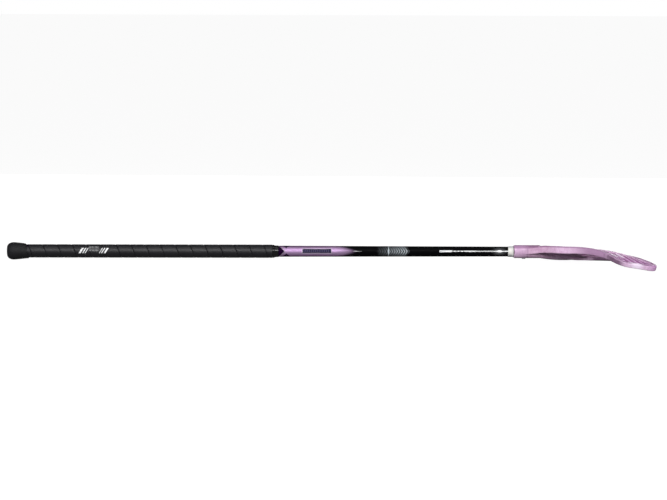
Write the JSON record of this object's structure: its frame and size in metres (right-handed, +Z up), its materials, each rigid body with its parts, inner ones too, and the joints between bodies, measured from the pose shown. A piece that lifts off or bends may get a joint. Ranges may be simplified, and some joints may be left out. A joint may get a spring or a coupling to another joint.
{
  "type": "floorball stick",
  "caption": "Floorball stick: tapered composite shaft with a wound grip, rubber butt knob and an open, hooked, slotted blade screwed to its lower end.",
  "frame": {"origin": "centre of the stick's footprint on the floor that it lies on, blade dished side down", "axes": "+X along the shaft from the butt knob to the blade, to within 2 degrees; the blade points to -Y; +Z up from the floor, the direction of the smallest extent"},
  "size_m": [1.1606, 0.264, 0.0363],
  "materials": {
    "shaft_tube": "lacquered composite tube, lilac fading to black",
    "end_plug": "moulded plastic",
    "butt_knob": "matt black rubber",
    "grip_wrap": "soft black polyurethane tape",
    "grip_binding": "glossy black vinyl tape",
    "fitting_sleeve": "white packing tape sleeve",
    "blade": "satin lilac plastic with a faint marbling",
    "blade_screw": "zinc plated steel"
  },
  "bodies": {
    "root": {"shaft_tube": "shaft_tube", "end_plug": "end_plug", "butt_knob": "butt_knob", "grip_wrap": "grip_wrap", "grip_binding": "grip_binding", "fitting_sleeve": "fitting_sleeve", "blade": "blade", "blade_screw": "blade_screw"}
  },
  "joints": []
}
